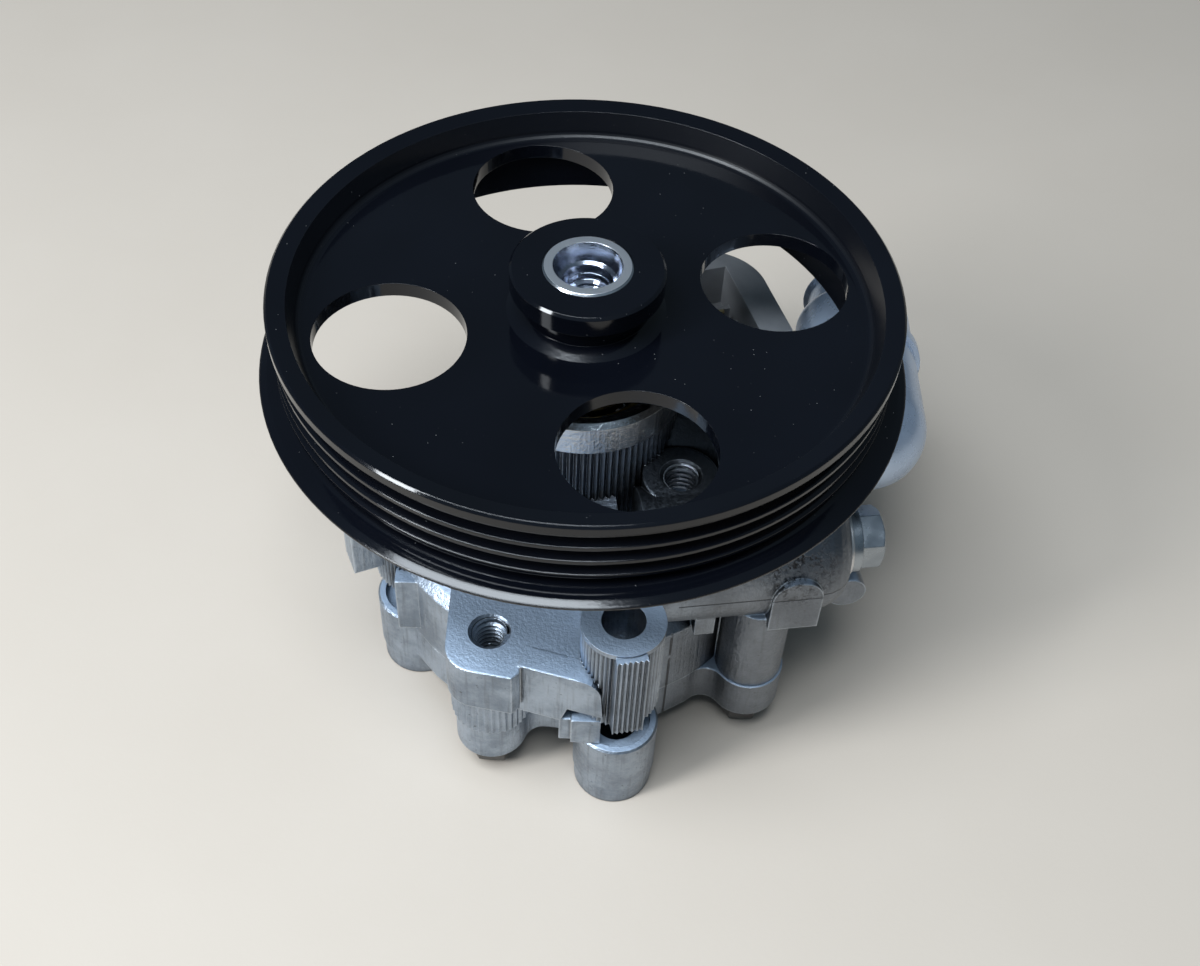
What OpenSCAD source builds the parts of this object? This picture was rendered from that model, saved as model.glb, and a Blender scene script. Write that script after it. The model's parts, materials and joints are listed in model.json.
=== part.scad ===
// Belt-driven vane pump for hydraulic power steering, standing on its rear cover.
// Origin on the shaft axis in the middle of the belt, +Z along the shaft towards its threaded end.

/* [Pulley] */
// Diameter of the upper rim
pulley_d = 118; // [114:1:124]
// How far the lower flange stands out past the upper rim
flange_overhang = 3; // [1.5:0.5:5]
// Number of belt grooves
groove_count = 4; // [3:1:5]
// Distance between neighbouring grooves
groove_pitch = 3.56; // [3.4:0.02:3.7]
// Depth of a groove below its ridges
groove_depth = 2.6; // [2:0.1:3]
// Height of the rim above the belt
top_land = 2.72; // [2:0.02:4]
// Height of the lower flange below the belt
lower_land = 1.24; // [1:0.02:2]
// Radial thickness of the rim above the web
rim_w = 5; // [4.6:0.2:7]
// Depth of the web below the rim
web_drop = 6.1; // [4:0.1:8]
// Thickness of the web
web_t = 3; // [2:0.5:4]
// Diameter of the hub
hub_d = 29; // [26:0.5:31]
// Height of the hub above the rim
hub_rise = 3.9; // [2:0.1:6]
// Depth of the hub below the web
hub_drop = 4.5; // [2:0.5:6]
// Diameter at the bottom of the puller groove
puller_groove_d = 24.5; // [22:0.5:25]
// Width of the puller groove
puller_groove_w = 4.5; // [3:0.5:5]
// Diameter of the hub's flared foot on the web
hub_foot_d = 30.2; // [29:0.2:32]
// Height of the hub's flared foot
hub_foot_h = 1.4; // [1:0.1:2]
// Diameter of the lightening windows in the web
window_d = 28.5; // [20:0.5:30]
// Diameter of the circle that the windows lie on
window_circle_d = 74.4; // [68:0.2:76]
// Number of windows
window_count = 4; // [3:1:5]
// Angle of the first window
window_start = -74.8; // [-90:0.2:0]

/* [Shaft and bearing] */
// Shaft diameter
shaft_d = 17; // [15:0.5:18]
// How far the shaft stands out of the hub
shaft_proud = 0.3; // [0:0.1:1]
// Tapping diameter of the thread in the shaft end
thread_d = 8.5; // [6.8:0.1:9]
// Depth of that thread hole
thread_depth = 28; // [20:1:32]
// Diameter of the countersunk mouth
mouth_d = 13; // [12:0.1:13.6]
// Outer diameter of the ball bearing
bearing_d = 35; // [34:0.5:38]
// Width of the ball bearing
bearing_w = 10; // [9:0.5:11]
// Ball diameter
ball_d = 4.76; // [4:0.02:5]
// Number of balls
ball_count = 8; // [7:1:9]
// Wall of the nose around the bearing
nose_wall = 2.5; // [2.2:0.1:4]
// Depth of the nose face below the belt middle
nose_drop = 8; // [8:0.2:10]
// Width of the shaft seal
seal_w = 6; // [5:0.5:7]

/* [Pump chamber] */
// Diameter of the chamber that holds the pumping parts
chamber_d = 56; // [54:0.5:57]
// Depth of the chamber roof below the belt middle
chamber_drop = 47; // [46:0.5:49]
// Thickness of the thrust plate
thrust_plate_t = 4.5; // [3.5:0.5:6]
// Thickness of the cam ring
cam_ring_t = 11.5; // [10:0.5:14]
// Thickness of the pressure plate
pressure_plate_t = 5; // [4:0.5:7]
// Rotor diameter
rotor_d = 36; // [35:0.5:38]
// How far the cam rises from the rotor at its widest
cam_lift = 2.4; // [1.5:0.1:3]
// Number of vanes
vane_count = 10; // [8:1:12]
// Vane thickness
vane_t = 1.8; // [1.4:0.1:2.2]
// Vane length along its slot
vane_len = 6.5; // [5.5:0.5:6.5]
// Dowel pin diameter
dowel_d = 4; // [3:0.5:5]
// Diameter of the circle that the dowels lie on
dowel_circle_d = 47; // [46.5:0.5:50]

/* [Housing and cover] */
// Diameter of the housing's drum
drum_d = 82; // [80:1:86]
// Height of the drum above the seam
drum_h = 20; // [18:0.5:21]
// Thickness of the rear cover
cover_t = 10; // [8:0.5:12]
// How far the mounting feet reach below the cover
foot_drop = 8; // [7:0.5:10]
// How far the mounting feet rise past the seam
foot_rise = 2; // [1:0.5:3]
// Diameter of a mounting foot
foot_d = 17; // [16:0.5:18]
// Diameter of a serrated mounting column
column_d = 16; // [15:0.5:17]
// Depth of the column tops below the belt middle
column_drop = 33; // [32:0.5:35]
// Height of a mounting column
column_h = 24; // [22:0.5:25]
// Bore for the mounting bolts
mount_bore_d = 8.5; // [8:0.1:9]
// Depth of the serrations
serration_depth = 0.7; // [0.4:0.1:1]
// Spacing of the serrations
serration_pitch = 1.35; // [1.2:0.05:1.8]
// Depth of the mounting columns' serrations
column_serration = 0.5; // [0.3:0.1:0.8]
// Spacing of the mounting columns' serrations
column_pitch = 1; // [0.9:0.05:1.6]
// Thread size of the cover bolts
cover_bolt_d = 6; // [5:0.5:7]
// Radius of the blends between drum and lobes
blend_r = 4; // [2:0.5:6]

/* [Threaded bosses] */
// Tapping diameter of the boss threads
boss_thread_d = 6.8; // [6:0.1:7.2]
// Depth of the ear's top face below the belt middle
ear_drop = 44; // [43:0.5:45]
// Thickness of the ear
ear_t = 12; // [10:0.5:13]
// Depth of the front boss face below the belt middle
boss_drop = 24; // [22:0.5:27]
// Diameter of the front boss
boss_d = 15; // [14:0.5:17]

/* [Flow valve] */
// Turn of the valve barrel away from the X axis
valve_yaw = 9; // [6:0.5:12]
// Distance of the barrel from the shaft axis
valve_offset = 28; // [27:0.5:30]
// Depth of the barrel axis below the belt middle
valve_drop = 37; // [36:0.5:37.5]
// Diameter of the barrel
barrel_d = 27; // [25:0.5:28]
// Place of the barrel's open end along its axis
barrel_end = 49; // [47:0.5:52]
// Bore of the barrel
valve_bore_d = 14; // [12:0.5:15]
// Length of the valve spool
spool_l = 14; // [12:0.5:16]
// Wire of the valve spring
valve_wire_d = 1.1; // [0.8:0.1:1.2]
// Width across the flats of the plug
plug_af = 11; // [10:0.5:13]
// Height of the plug's hex
plug_hex_h = 5; // [4:0.5:7]

/* [Inlet and outlet] */
// Outer diameter of the inlet tube
tube_d = 25; // [23:0.5:26]
// Wall of the inlet tube
tube_wall = 2; // [1.5:0.1:3]
// Place of the elbow along X
elbow_x = 59.2; // [57:0.2:62]
// Place of the inlet along Y
inlet_y = 5.4; // [4:0.2:7]
// Depth of the inlet axis below the belt middle
inlet_drop = 32; // [31:0.5:33]
// Where the hose end of the elbow ends along Y
inlet_end_y = 48; // [46:0.5:54]
// Diameter of the hose end
hose_end_d = 18; // [16:0.5:20]
// Tapping diameter of the outlet thread
outlet_thread_d = 14.5; // [13:0.1:15]

/* [Connector] */
// Width of the connector block
block_w = 28; // [26:0.5:30]
// Depth of the block's top below the belt middle
block_drop = 30; // [29:0.5:32]
// Height of the block
block_h = 13; // [12:0.5:13.5]
// Width of the socket in the block
socket_w = 14; // [12:0.5:16]
// Depth of the socket
socket_h = 11; // [9:0.5:11.5]

/* [Hidden] */
$fn = 64;
// Overshoot of a cut past the face it opens
cut = 1;
// Play between pieces that stand still together
fit_gap = 0.02;
// Play between pieces that turn or slide past each other
run_gap = 0.06;
// Play at the sides of the rotor
side_gap = 0.15;

belt_half = groove_count * groove_pitch / 2;
rim_z = belt_half + top_land;
flange_z = -belt_half - lower_land;
flange_edge = 0.7;
flange_lip_w = 1.5;
flange_lip_drop = 0.6;
flange_chamfer = 0.3;
ridge_drop = 0.6;
ridge_flat = 0.8;
groove_flank = 20;
rim_r = pulley_d / 2;
flange_r = rim_r + flange_overhang;
ridge_r = rim_r - ridge_drop;
root_r = ridge_r - groove_depth;
groove_w = groove_pitch - ridge_flat;
groove_floor_w = groove_w - 2 * groove_depth * tan(groove_flank);
rim_in_r = rim_r - rim_w;
rim_chamfer = 0.5;
rim_bevel_w = 3.8;
rim_bevel_drop = 0.8;
web_fillet = 1.5;
lower_wall = 2.6;
web_z = rim_z - web_drop;
web_low = web_z - web_t;
hub_r = hub_d / 2;
hub_z = rim_z + hub_rise;
hub_low = web_low - hub_drop;
hub_chamfer = 0.5;
groove_low = web_z + hub_foot_h;
collar_z = groove_low + puller_groove_w;

shaft_r = shaft_d / 2;
shaft_z = hub_z + shaft_proud;
shaft_chamfer = 0.4;
mouth_depth = 3.6;
ledge_d = thread_d + 2.6;
ledge_drop = 0.4;
thread_lead = 0.6;
thread_start = 5.7;
drill_cone = 2.4;
spline_r = shaft_r - 1.1;
spline_depth = 0.8;
spline_teeth = 16;

nose_z = -nose_drop;
nose_chamfer = 1;
collar_h = 7.2;
collar_r = bearing_d / 2 + nose_wall;
circlip_t = 1.5;
circlip_deep = 0.9;
circlip_w = 3;
circlip_gap = 28;
bearing_top = nose_z - 2 - circlip_t;
bearing_low = bearing_top - bearing_w;
race_t = 2.9;
ball_circle_r = (shaft_d + bearing_d) / 4;
ball_r = ball_d / 2;
cage_t = 1.6;
cage_h = ball_d + 1.6;
seal_d = bearing_d - 7;
seal_gap = 1;
seal_top = bearing_low - seal_gap;
seal_low = seal_top - seal_w;
bush_r = shaft_r + 2;
bush_top = seal_low - 1;

dowel_wall = 2.5;
// The chamber is wide enough for the dowels and the wall outside them
chamber_r = max(chamber_d / 2, dowel_circle_d / 2 + dowel_d / 2 + dowel_wall);
chamber_z = -chamber_drop;
thrust_low = chamber_z - thrust_plate_t;
cam_low = thrust_low - cam_ring_t;
seam_z = cam_low - pressure_plate_t;
bush_low = chamber_z;
rotor_r = rotor_d / 2;
rotor_t = cam_ring_t - 2 * side_gap;
rotor_low = cam_low + side_gap;
cam_min_r = rotor_r + side_gap;
cam_points = 72;
slot_root_r = 1.3;
plate_hole_r = shaft_r + 0.9;
clip_t = 1.2;
clip_w = 2;
shaft_low = rotor_low - 3.2;
kidney_w = 3.2;
kidney_a = 50;
dowel_sink = 2;
plate_spring_r = 11;
plate_spring_wire = 1.8;
spring_room_r = plate_spring_r + 2;
spring_room_h = 5;
plate_ring_d = 2.2;
cover_ring_d = 2.2;
cover_ring_r = chamber_r + 2.6;
spring_sides = 8;
spring_steps = 14;

drum_r = drum_d / 2;
drum_top = seam_z + drum_h;
drum_round = 2;
neck_r = collar_r - 0.7;
neck_core_r = neck_r - serration_depth - 0.6;
collar_low = nose_z - collar_h;
shoulder_r = 27;
shoulder_z = chamber_z + 5.5;
neck_foot_z = shoulder_z + 5;
cover_low = seam_z - cover_t;
floor_z = cover_low - foot_drop;
foot_top = seam_z + foot_rise;
foot_r = foot_d / 2;
foot_band_h = 5.5;
foot_taper = 0.4;
foot_dish_r = foot_r - 1.6;
foot_dish_h = 1.6;
pocket_gap = 0.8;
pocket_in_r = drum_r - 2.5;
column_r = column_d / 2;
column_top = -column_drop;
column_low = column_top - column_h;
column_ring_h = 1.2;
column_ring_out = 0.15;
tab_w = 6;
tab_step = 0.6;
tab_ridges = 6;
// Reach of the tab past each mounting column, and its lower end above the column's
tabs = [[1.4, 0], [5.6, 6], [1.4, 0]];
rib_t = 7;
rib_neck_z = collar_low - 14;
rib_end_drop = 4;

// Places of the mounting feet, the cover bolts and the threaded bosses, as radius and angle
mount_polar = [[46.3, -78.4], [37, -156.6], [47, 38]];
bolt_polar = [[44.1, -111.6], [46.6, -37.4], [45, 8], [45, 98], [45, 160]];
boss_polar = [25.7, -40];
// The third mounting foot has a short blind column under the inlet
short_column_h = 7.5;
lobe_r = 7.4;
bolt_r = cover_bolt_d / 2;
bolt_column_r = 7;
bolt_column_h = 23.3;
bolt_grip = 7;
bolt_af = cover_bolt_d * 1.5;
hex_face = 0.47;
bolt_head_h = cover_bolt_d * 0.85;
bolt_flange_r = cover_bolt_d * 1.05;
bolt_flange_h = 1.2;
thread_gap = 0.05;

// The ear's outline is drawn around its thread hole
ear_at = polar(bolt_polar[0]);
ear_z = -ear_drop;
ear_left = 8.3;
ear_front = 10.9;
ear_back = 12;
ear_corner = 6;
ear_corner_y = 3.6;
ear_step_x = 6.3;
ear_step_w = 1.5;
ear_join = 24;
ear_join_front = 8;
ear_post_r = lobe_r + 0.8;
ear_plate_y = 8;
ear_plate_lap = 0.4;
ear_plate_rise = 0.2;
ear_plate_turn = 14.6;
ear_plate_t = 5;
ear_plate_l = 16.6;
ear_plate_h = 14.9;
ear_plate_end_h = 10.4;
ear_plate_notch = 10;
ear_plate_slant = 1.3;
ear_plate_round = 4;
ear_plate_flare = 0.5;
boss_thread_depth = 14;
boss_chamfer = 0.8;
front_boss_depth = 9;
boss_at = polar(boss_polar);
boss_z = -boss_drop;
boss_r = boss_d / 2;
boss_h = 22;

// Cast lugs beside the feet: mounting axis, offset from it, size in plan,
// lower end above the foot's top and upper end above the column's lower end
lugs = [[0, [-8.5, 0.3], [6, 12], [0.5, -1.5]], [0, [-6.2, -5.2], [5.8, 2.8], [0.6, -0.7]],
    [1, [1.2, -7.95], [8.1, 5.5], [0.5, 7]]];

barrel_r = barrel_d / 2;
barrel_round = 7;
barrel_start = 8;
valve_z = -valve_drop;
valve_bore_r = valve_bore_d / 2;
plug_nose = 7;
spool_end = barrel_end - plug_nose;
spool_start = spool_end - spool_l;
spool_land = 5;
spool_waist_r = valve_bore_r - 2;
spring_l = 9;
valve_spring_r = valve_bore_r - 2;
valve_spring_turns = 4;
valve_bore_start = spool_start - spring_l;
plug_flange_r = plug_af * 0.63;
plug_flange_h = 2;
washer_t = 1;
washer_r = plug_flange_r + 0.6;
spot_r = washer_r + 1;
arch_s = 36.9;
arch_r = 5;
arch_out = 14.2;
arch_mid = 0.2;
arch_low = 9.2;
end_lug_r = 4;
end_lug_s = 51;
end_lug_drop = 12.5;
end_lug_w = 9;
barrel_rib_s = 18;
barrel_rib_t = 4;
barrel_rib_out = 11;

tube_r = tube_d / 2;
tube_in_r = tube_r - tube_wall;
inlet_z = -inlet_drop;
inlet_boss_r = tube_r + 3.5;
inlet_boss_x = 46;
inlet_seat_x = 31;
bead_y = 24;
bead_w = 2.4;
bead_out = 1;
shoulder_y = inlet_end_y - 9;
hose_r = hose_end_d / 2;
hose_bead_out = 1;
hose_round = 3;
hose_bead_w = 2.5;
hose_in_r = hose_r - tube_wall;
inlet_ring_d = 2.2;
inlet_ring_x = inlet_seat_x + 5;
outlet_x = -8;
outlet_z = -36;
outlet_boss_r = outlet_thread_d / 2 + 4;
outlet_y = 46;
outlet_depth = 15;

block_at = [27, 45];
block_turn = 18;
block_r = block_w / 2;
block_l = 17;
block_top = -block_drop;
block_low = block_top - block_h;
socket_l = 22;
socket_back = 7;
rung_t = 1.2;
rung_h = 3;
rung_count = 3;
terminal_w = 2.8;
terminal_t = 0.8;
terminal_h = 5;
terminal_gap = 6;
pad_r = block_r - 2;

// Plan point at a radius and angle, given as one pair
function polar(p) = [p[0] * cos(p[1]), p[0] * sin(p[1])];

// Points of an arc
function arc(centre, r, from, to, n = 8) =
    [for (i = [0:n]) centre + polar([r, from + (to - from) * i / n])];

// Star outline whose tips lie on radius r
function serrated_ring(r, depth, teeth) =
    [for (i = [0:2 * teeth - 1]) polar([i % 2 == 0 ? r : r - depth, i * 180 / teeth])];

// Outline of a tab whose outer face is ridged
function ridged_tab(reach) = concat(
    [[0, tab_w / 2], [0, -tab_w / 2]],
    [for (i = [0:2 * tab_ridges]) [reach - (i % 2) * column_serration, tab_w * (i / (2 * tab_ridges) - 0.5)]]);

function teeth_for(r, pitch = serration_pitch) = round(2 * PI * r / pitch);

// Profile of the belt grooves from the lowest to the highest
groove_profile = [for (i = [0:groove_count - 1], k = [0:3])
    [k == 0 || k == 3 ? ridge_r : root_r,
     -belt_half + (i + 0.5) * groove_pitch + [-groove_w, -groove_floor_w, groove_floor_w, groove_w][k] / 2]];

// Half of the pulley's section, from the hub's lower end round the rim to the hub's top
pulley_profile = concat(
    [[shaft_r + fit_gap, hub_low], [hub_r, hub_low], [hub_r, web_low], [root_r - lower_wall, web_low],
     [root_r - lower_wall, flange_z], [flange_r - flange_chamfer, flange_z],
     [flange_r, flange_z + flange_chamfer], [flange_r, flange_z + flange_edge],
     [flange_r - flange_lip_w, flange_z + flange_edge + flange_lip_drop]],
    groove_profile,
    [[ridge_r, belt_half], [rim_r, rim_z - top_land + ridge_drop], [rim_r, rim_z - rim_chamfer],
     [rim_r - rim_chamfer, rim_z], [rim_r - rim_bevel_w, rim_z - rim_bevel_drop],
     [rim_in_r, web_z + web_fillet]],
    arc([rim_in_r - web_fillet, web_z + web_fillet], web_fillet, 0, -90, 5),
    [[hub_foot_d / 2, web_z], [puller_groove_d / 2, groove_low], [puller_groove_d / 2, collar_z], [hub_r, collar_z],
     [hub_r, hub_z - hub_chamfer], [hub_r - hub_chamfer, hub_z], [shaft_r + fit_gap, hub_z]]);

module pulley() {
    color("#15161a")
    difference() {
        rotate_extrude()
            polygon(pulley_profile);
        for (i = [0:window_count - 1])
            rotate(window_start + i * 360 / window_count)
                translate([window_circle_d / 2, 0, web_low - cut])
                    cylinder(d = window_d, h = web_t + 2 * cut);
    }
}

module drive_shaft() {
    color("#c9ccd0")
    difference() {
        union() {
            rotate_extrude()
                polygon([[0, chamber_z + cut], [shaft_r, chamber_z + cut], [shaft_r, shaft_z - shaft_chamfer],
                    [shaft_r - shaft_chamfer, shaft_z], [mouth_d / 2, shaft_z],
                    [ledge_d / 2, shaft_z - mouth_depth],
                    [thread_d / 2 + thread_lead, shaft_z - mouth_depth - ledge_drop],
                    [thread_d / 2, shaft_z - thread_start],
                    [thread_d / 2, shaft_z - thread_depth], [0, shaft_z - thread_depth - drill_cone]]);
            translate([0, 0, shaft_low])
                linear_extrude(chamber_z + 2 * cut - shaft_low)
                    polygon(serrated_ring(spline_r, spline_depth, spline_teeth));
        }
        translate([0, 0, rotor_low - side_gap - clip_t])
            tube(spline_r + cut, spline_r - spline_depth - fit_gap, clip_t);
    }
}

// Straight ring with its lower face at z = 0
module tube(r, hole_r, h) {
    difference() {
        cylinder(r = r, h = h);
        translate([0, 0, -cut])
            cylinder(r = hole_r, h = h + 2 * cut);
    }
}

module rotor() {
    color("#8d9096")
    translate([0, 0, rotor_low])
        linear_extrude(rotor_t)
            difference() {
                circle(r = rotor_r);
                polygon(serrated_ring(spline_r + run_gap, spline_depth, spline_teeth));
                for (i = [1:vane_count])
                    rotate(i * 360 / vane_count) {
                        translate([rotor_r - vane_len - slot_root_r, 0])
                            circle(r = slot_root_r);
                        translate([rotor_r - vane_len - slot_root_r, -vane_t / 2 - fit_gap])
                            square([vane_len + slot_root_r + cut, vane_t + 2 * fit_gap]);
                    }
            }
}

// Vanes stand drawn in, level with the rotor
module vane(i) {
    color("#a9acb2")
    rotate(i * 360 / vane_count)
        translate([rotor_r - vane_len, -vane_t / 2, rotor_low])
            cube([vane_len - side_gap, vane_t, rotor_t]);
}

module rotor_retaining_ring() {
    color("#5c5f64")
    translate([0, 0, rotor_low - side_gap - clip_t + fit_gap])
        rotate(circlip_gap / 2)
            rotate_extrude(angle = 360 - circlip_gap)
                translate([spline_r - spline_depth, 0])
                    square([clip_w, clip_t - 2 * fit_gap]);
}

// Bearing ring between two radii, with the ball groove cut in it
module race(r, hole_r) {
    difference() {
        translate([0, 0, bearing_low])
            tube(r, hole_r, bearing_w);
        translate([0, 0, bearing_low + bearing_w / 2])
            rotate_extrude()
                translate([ball_circle_r, 0])
                    circle(r = ball_r + run_gap);
    }
}

module bearing_inner_ring() {
    color("#b9bcc2")
    race(shaft_r + race_t, shaft_r + fit_gap);
}

module bearing_outer_ring() {
    color("#b9bcc2")
    race(bearing_d / 2, bearing_d / 2 - race_t);
}

module bearing_cage() {
    color("#9c8348")
    difference() {
        translate([0, 0, bearing_low + bearing_w / 2 - cage_h / 2])
            tube(ball_circle_r + cage_t / 2, ball_circle_r - cage_t / 2, cage_h);
        for (i = [1:ball_count])
            at_ball(i)
                sphere(r = ball_r + run_gap);
    }
}

module at_ball(i) {
    rotate(i * 360 / ball_count)
        translate([ball_circle_r, 0, bearing_low + bearing_w / 2])
            children();
}

module bearing_ball(i) {
    color("#d5d7da")
    at_ball(i)
        sphere(r = ball_r);
}

module bearing_retaining_ring() {
    color("#4c4f54")
    translate([0, 0, bearing_top])
        rotate(circlip_gap / 2 - 90)
            rotate_extrude(angle = 360 - circlip_gap)
                translate([bearing_d / 2 + circlip_deep - fit_gap - circlip_w, 0])
                    square([circlip_w, circlip_t - fit_gap]);
}

module shaft_seal() {
    color("#242424")
    rotate_extrude()
        polygon([[shaft_r + run_gap, seal_top - seal_w / 2], [shaft_r + 1.5, seal_top - seal_w / 2 - 1],
            [shaft_r + 2.5, seal_low + 1.2], [shaft_r + 2.5, seal_low], [seal_d / 2 - fit_gap, seal_low],
            [seal_d / 2 - fit_gap, seal_top], [shaft_r + run_gap + 0.6, seal_top]]);
}

module shaft_bushing() {
    color("#a8854a")
    translate([0, 0, bush_low])
        tube(bush_r - fit_gap, shaft_r + run_gap, bush_top - bush_low);
}

// Drum, shoulder, neck and machined nose, as one turned form
module housing_core() {
    rotate_extrude()
        polygon([[0, seam_z], [drum_r, seam_z], [drum_r, drum_top - drum_round],
            [drum_r - drum_round, drum_top], [shoulder_r, shoulder_z], [neck_core_r, neck_foot_z],
            [neck_core_r, collar_low], [collar_r, collar_low], [collar_r, nose_z - nose_chamfer],
            [collar_r - nose_chamfer, nose_z], [0, nose_z]]);
    translate([0, 0, shoulder_z])
        linear_extrude(collar_low - shoulder_z + cut)
            polygon(serrated_ring(neck_r, serration_depth, teeth_for(neck_r)));
}

// Turns and shifts its children to a mounting axis, with +X pointing away from the shaft
module at_mount(i) {
    rotate(mount_polar[i][1])
        translate([mount_polar[i][0], 0, 0])
            children();
}

// Serrated post with a plain ring on top and a tab on its outer side
module mount_column(i, low, h) {
    at_mount(i)
        translate([0, 0, low]) {
            linear_extrude(h - column_ring_h / 2)
                polygon(serrated_ring(column_r, column_serration, teeth_for(column_r, column_pitch)));
            translate([0, 0, h - column_ring_h])
                cylinder(r = column_r + column_ring_out, h = column_ring_h);
            translate([0, 0, tabs[i][1]])
                linear_extrude(h - tab_step - tabs[i][1])
                    polygon(ridged_tab(column_r + tabs[i][0]));
        }
}

// Sloping web from the neck to a mounting column
module mount_rib(i) {
    rotate(mount_polar[i][1])
        translate([0, rib_t / 2, 0])
            rotate([90, 0, 0])
                linear_extrude(rib_t)
                    polygon([[neck_core_r - cut, shoulder_z], [neck_core_r - cut, rib_neck_z],
                        [mount_polar[i][0], column_top - rib_end_drop], [mount_polar[i][0], column_low + cut],
                        [drum_r - drum_round, drum_top - cut]]);
}

// Flat with a threaded hole on a serrated post, and a plate that runs on to the front mounting column
module ear() {
    translate([ear_at[0], ear_at[1], ear_z - ear_t])
        linear_extrude(ear_t)
            polygon(concat(
                [[ear_join, -ear_join_front], [ear_join, ear_back], [-ear_left, ear_back]],
                arc([ear_corner - ear_left, -ear_corner_y], ear_corner, 180, 260),
                [[ear_step_x - ear_step_w, -ear_front], [ear_step_x, ear_step_w - ear_front],
                 [ear_step_x, -ear_plate_y]]));
    translate([ear_at[0] + ear_step_x - ear_plate_lap, ear_at[1] - ear_plate_y, ear_z + ear_plate_rise])
        rotate([90, 0, -ear_plate_turn])
            translate([0, 0, -ear_plate_t])
                linear_extrude(ear_plate_t)
                    polygon(concat(
                        [[0, 0]],
                        arc([ear_plate_l - ear_plate_round, -ear_plate_round], ear_plate_round, 90, 0, 6),
                        [[ear_plate_l + ear_plate_flare, -ear_plate_end_h], [ear_plate_notch, -ear_plate_end_h],
                         [ear_plate_notch - ear_plate_slant, -ear_plate_h], [0, -ear_plate_h]]));
    translate([ear_at[0], ear_at[1], seam_z])
        linear_extrude(ear_z - ear_t - seam_z + cut)
            polygon(serrated_ring(ear_post_r, serration_depth / 2, teeth_for(ear_post_r)));
}

module bolt_column(i) {
    translate(concat(polar(bolt_polar[i]), [seam_z]))
        cylinder(r = bolt_column_r, h = bolt_column_h);
}

// Moves its children to the valve barrel, with +Z along the barrel towards its open end
module at_valve(s) {
    rotate(valve_yaw)
        translate([s, -valve_offset, valve_z])
            rotate([0, 90, 0])
                children();
}

module valve_barrel() {
    at_valve(barrel_start)
        rotate_extrude()
            polygon(concat(
                [[0, 0], [barrel_r, 0]],
                arc([barrel_r - barrel_round, barrel_end - barrel_start - barrel_round], barrel_round, 0, 90, 6),
                [[0, barrel_end - barrel_start]]));
    // Arched boss on the barrel's front
    rotate(valve_yaw)
        translate([arch_s, -valve_offset, valve_z]) {
            translate([0, 0, -arch_mid])
                rotate([90, 0, 0])
                    cylinder(r = arch_r, h = arch_out);
            translate([-arch_r, -arch_out, -arch_low])
                cube([2 * arch_r, arch_out, arch_low - arch_mid]);
        }
    // Lug under the barrel's end, and the rib that carries the barrel on the drum
    rotate(valve_yaw) {
        translate([end_lug_s, -valve_offset + end_lug_w / 2, valve_z - end_lug_drop])
            rotate([90, 0, 0])
                cylinder(r = end_lug_r, h = end_lug_w);
        translate([end_lug_s - 3 * end_lug_r, -valve_offset - end_lug_w / 2, valve_z - end_lug_drop])
            cube([3 * end_lug_r, end_lug_w, end_lug_r * 0.8]);
        translate([barrel_rib_s, -valve_offset - barrel_rib_out, drum_top - drum_round])
            cube([barrel_rib_t, barrel_rib_out, valve_z - drum_top + drum_round]);
    }
}

module inlet_boss() {
    translate([0, inlet_y, inlet_z])
        rotate([0, 90, 0])
            cylinder(r = inlet_boss_r, h = inlet_boss_x);
}

module outlet_boss() {
    translate([outlet_x, 0, outlet_z])
        rotate([-90, 0, 0])
            cylinder(r = outlet_boss_r, h = outlet_y);
}

module connector_pad() {
    translate([block_at[0], block_at[1], seam_z])
        cylinder(r = pad_r, h = block_low - seam_z);
}

module cast_lug(lug) {
    at = polar(mount_polar[lug[0]]) + lug[1];
    low = foot_top + lug[3][0];
    translate([at[0] - lug[2][0] / 2, at[1] - lug[2][1] / 2, low])
        cube([lug[2][0], lug[2][1], column_low + lug[3][1] - low]);
}

module threaded_hole(at, top, depth) {
    translate([at[0], at[1], top - depth])
        cylinder(d = boss_thread_d, h = depth + cut);
    translate([at[0], at[1], top - boss_chamfer])
        cylinder(d1 = boss_thread_d, d2 = boss_thread_d + 4 * boss_chamfer, h = 2 * boss_chamfer);
}

// Room around a mounting foot, outside the drum's sealing wall
module foot_pocket(i) {
    difference() {
        at_mount(i)
            translate([0, 0, seam_z - cut])
                cylinder(r = foot_r + pocket_gap, h = column_low - seam_z + cut);
        translate([0, 0, seam_z - 2 * cut])
            cylinder(r = pocket_in_r, h = column_low - seam_z + 4 * cut);
    }
}

module front_housing() {
    color("#b4b8be")
    difference() {
        union() {
            housing_core();
            mount_column(0, column_low, column_h);
            mount_column(1, column_low, column_h);
            mount_column(2, column_low, short_column_h);
            mount_rib(0);
            mount_rib(1);
            ear();
            for (i = [1:len(bolt_polar) - 1])
                bolt_column(i);
            translate([boss_at[0], boss_at[1], boss_z - boss_h])
                cylinder(r = boss_r, h = boss_h);
            valve_barrel();
            inlet_boss();
            outlet_boss();
            connector_pad();
        }
        for (i = [0:len(mount_polar) - 1])
            foot_pocket(i);
        housing_bores();
    }
    for (lug = lugs)
        cast_lug(lug);
}

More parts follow.
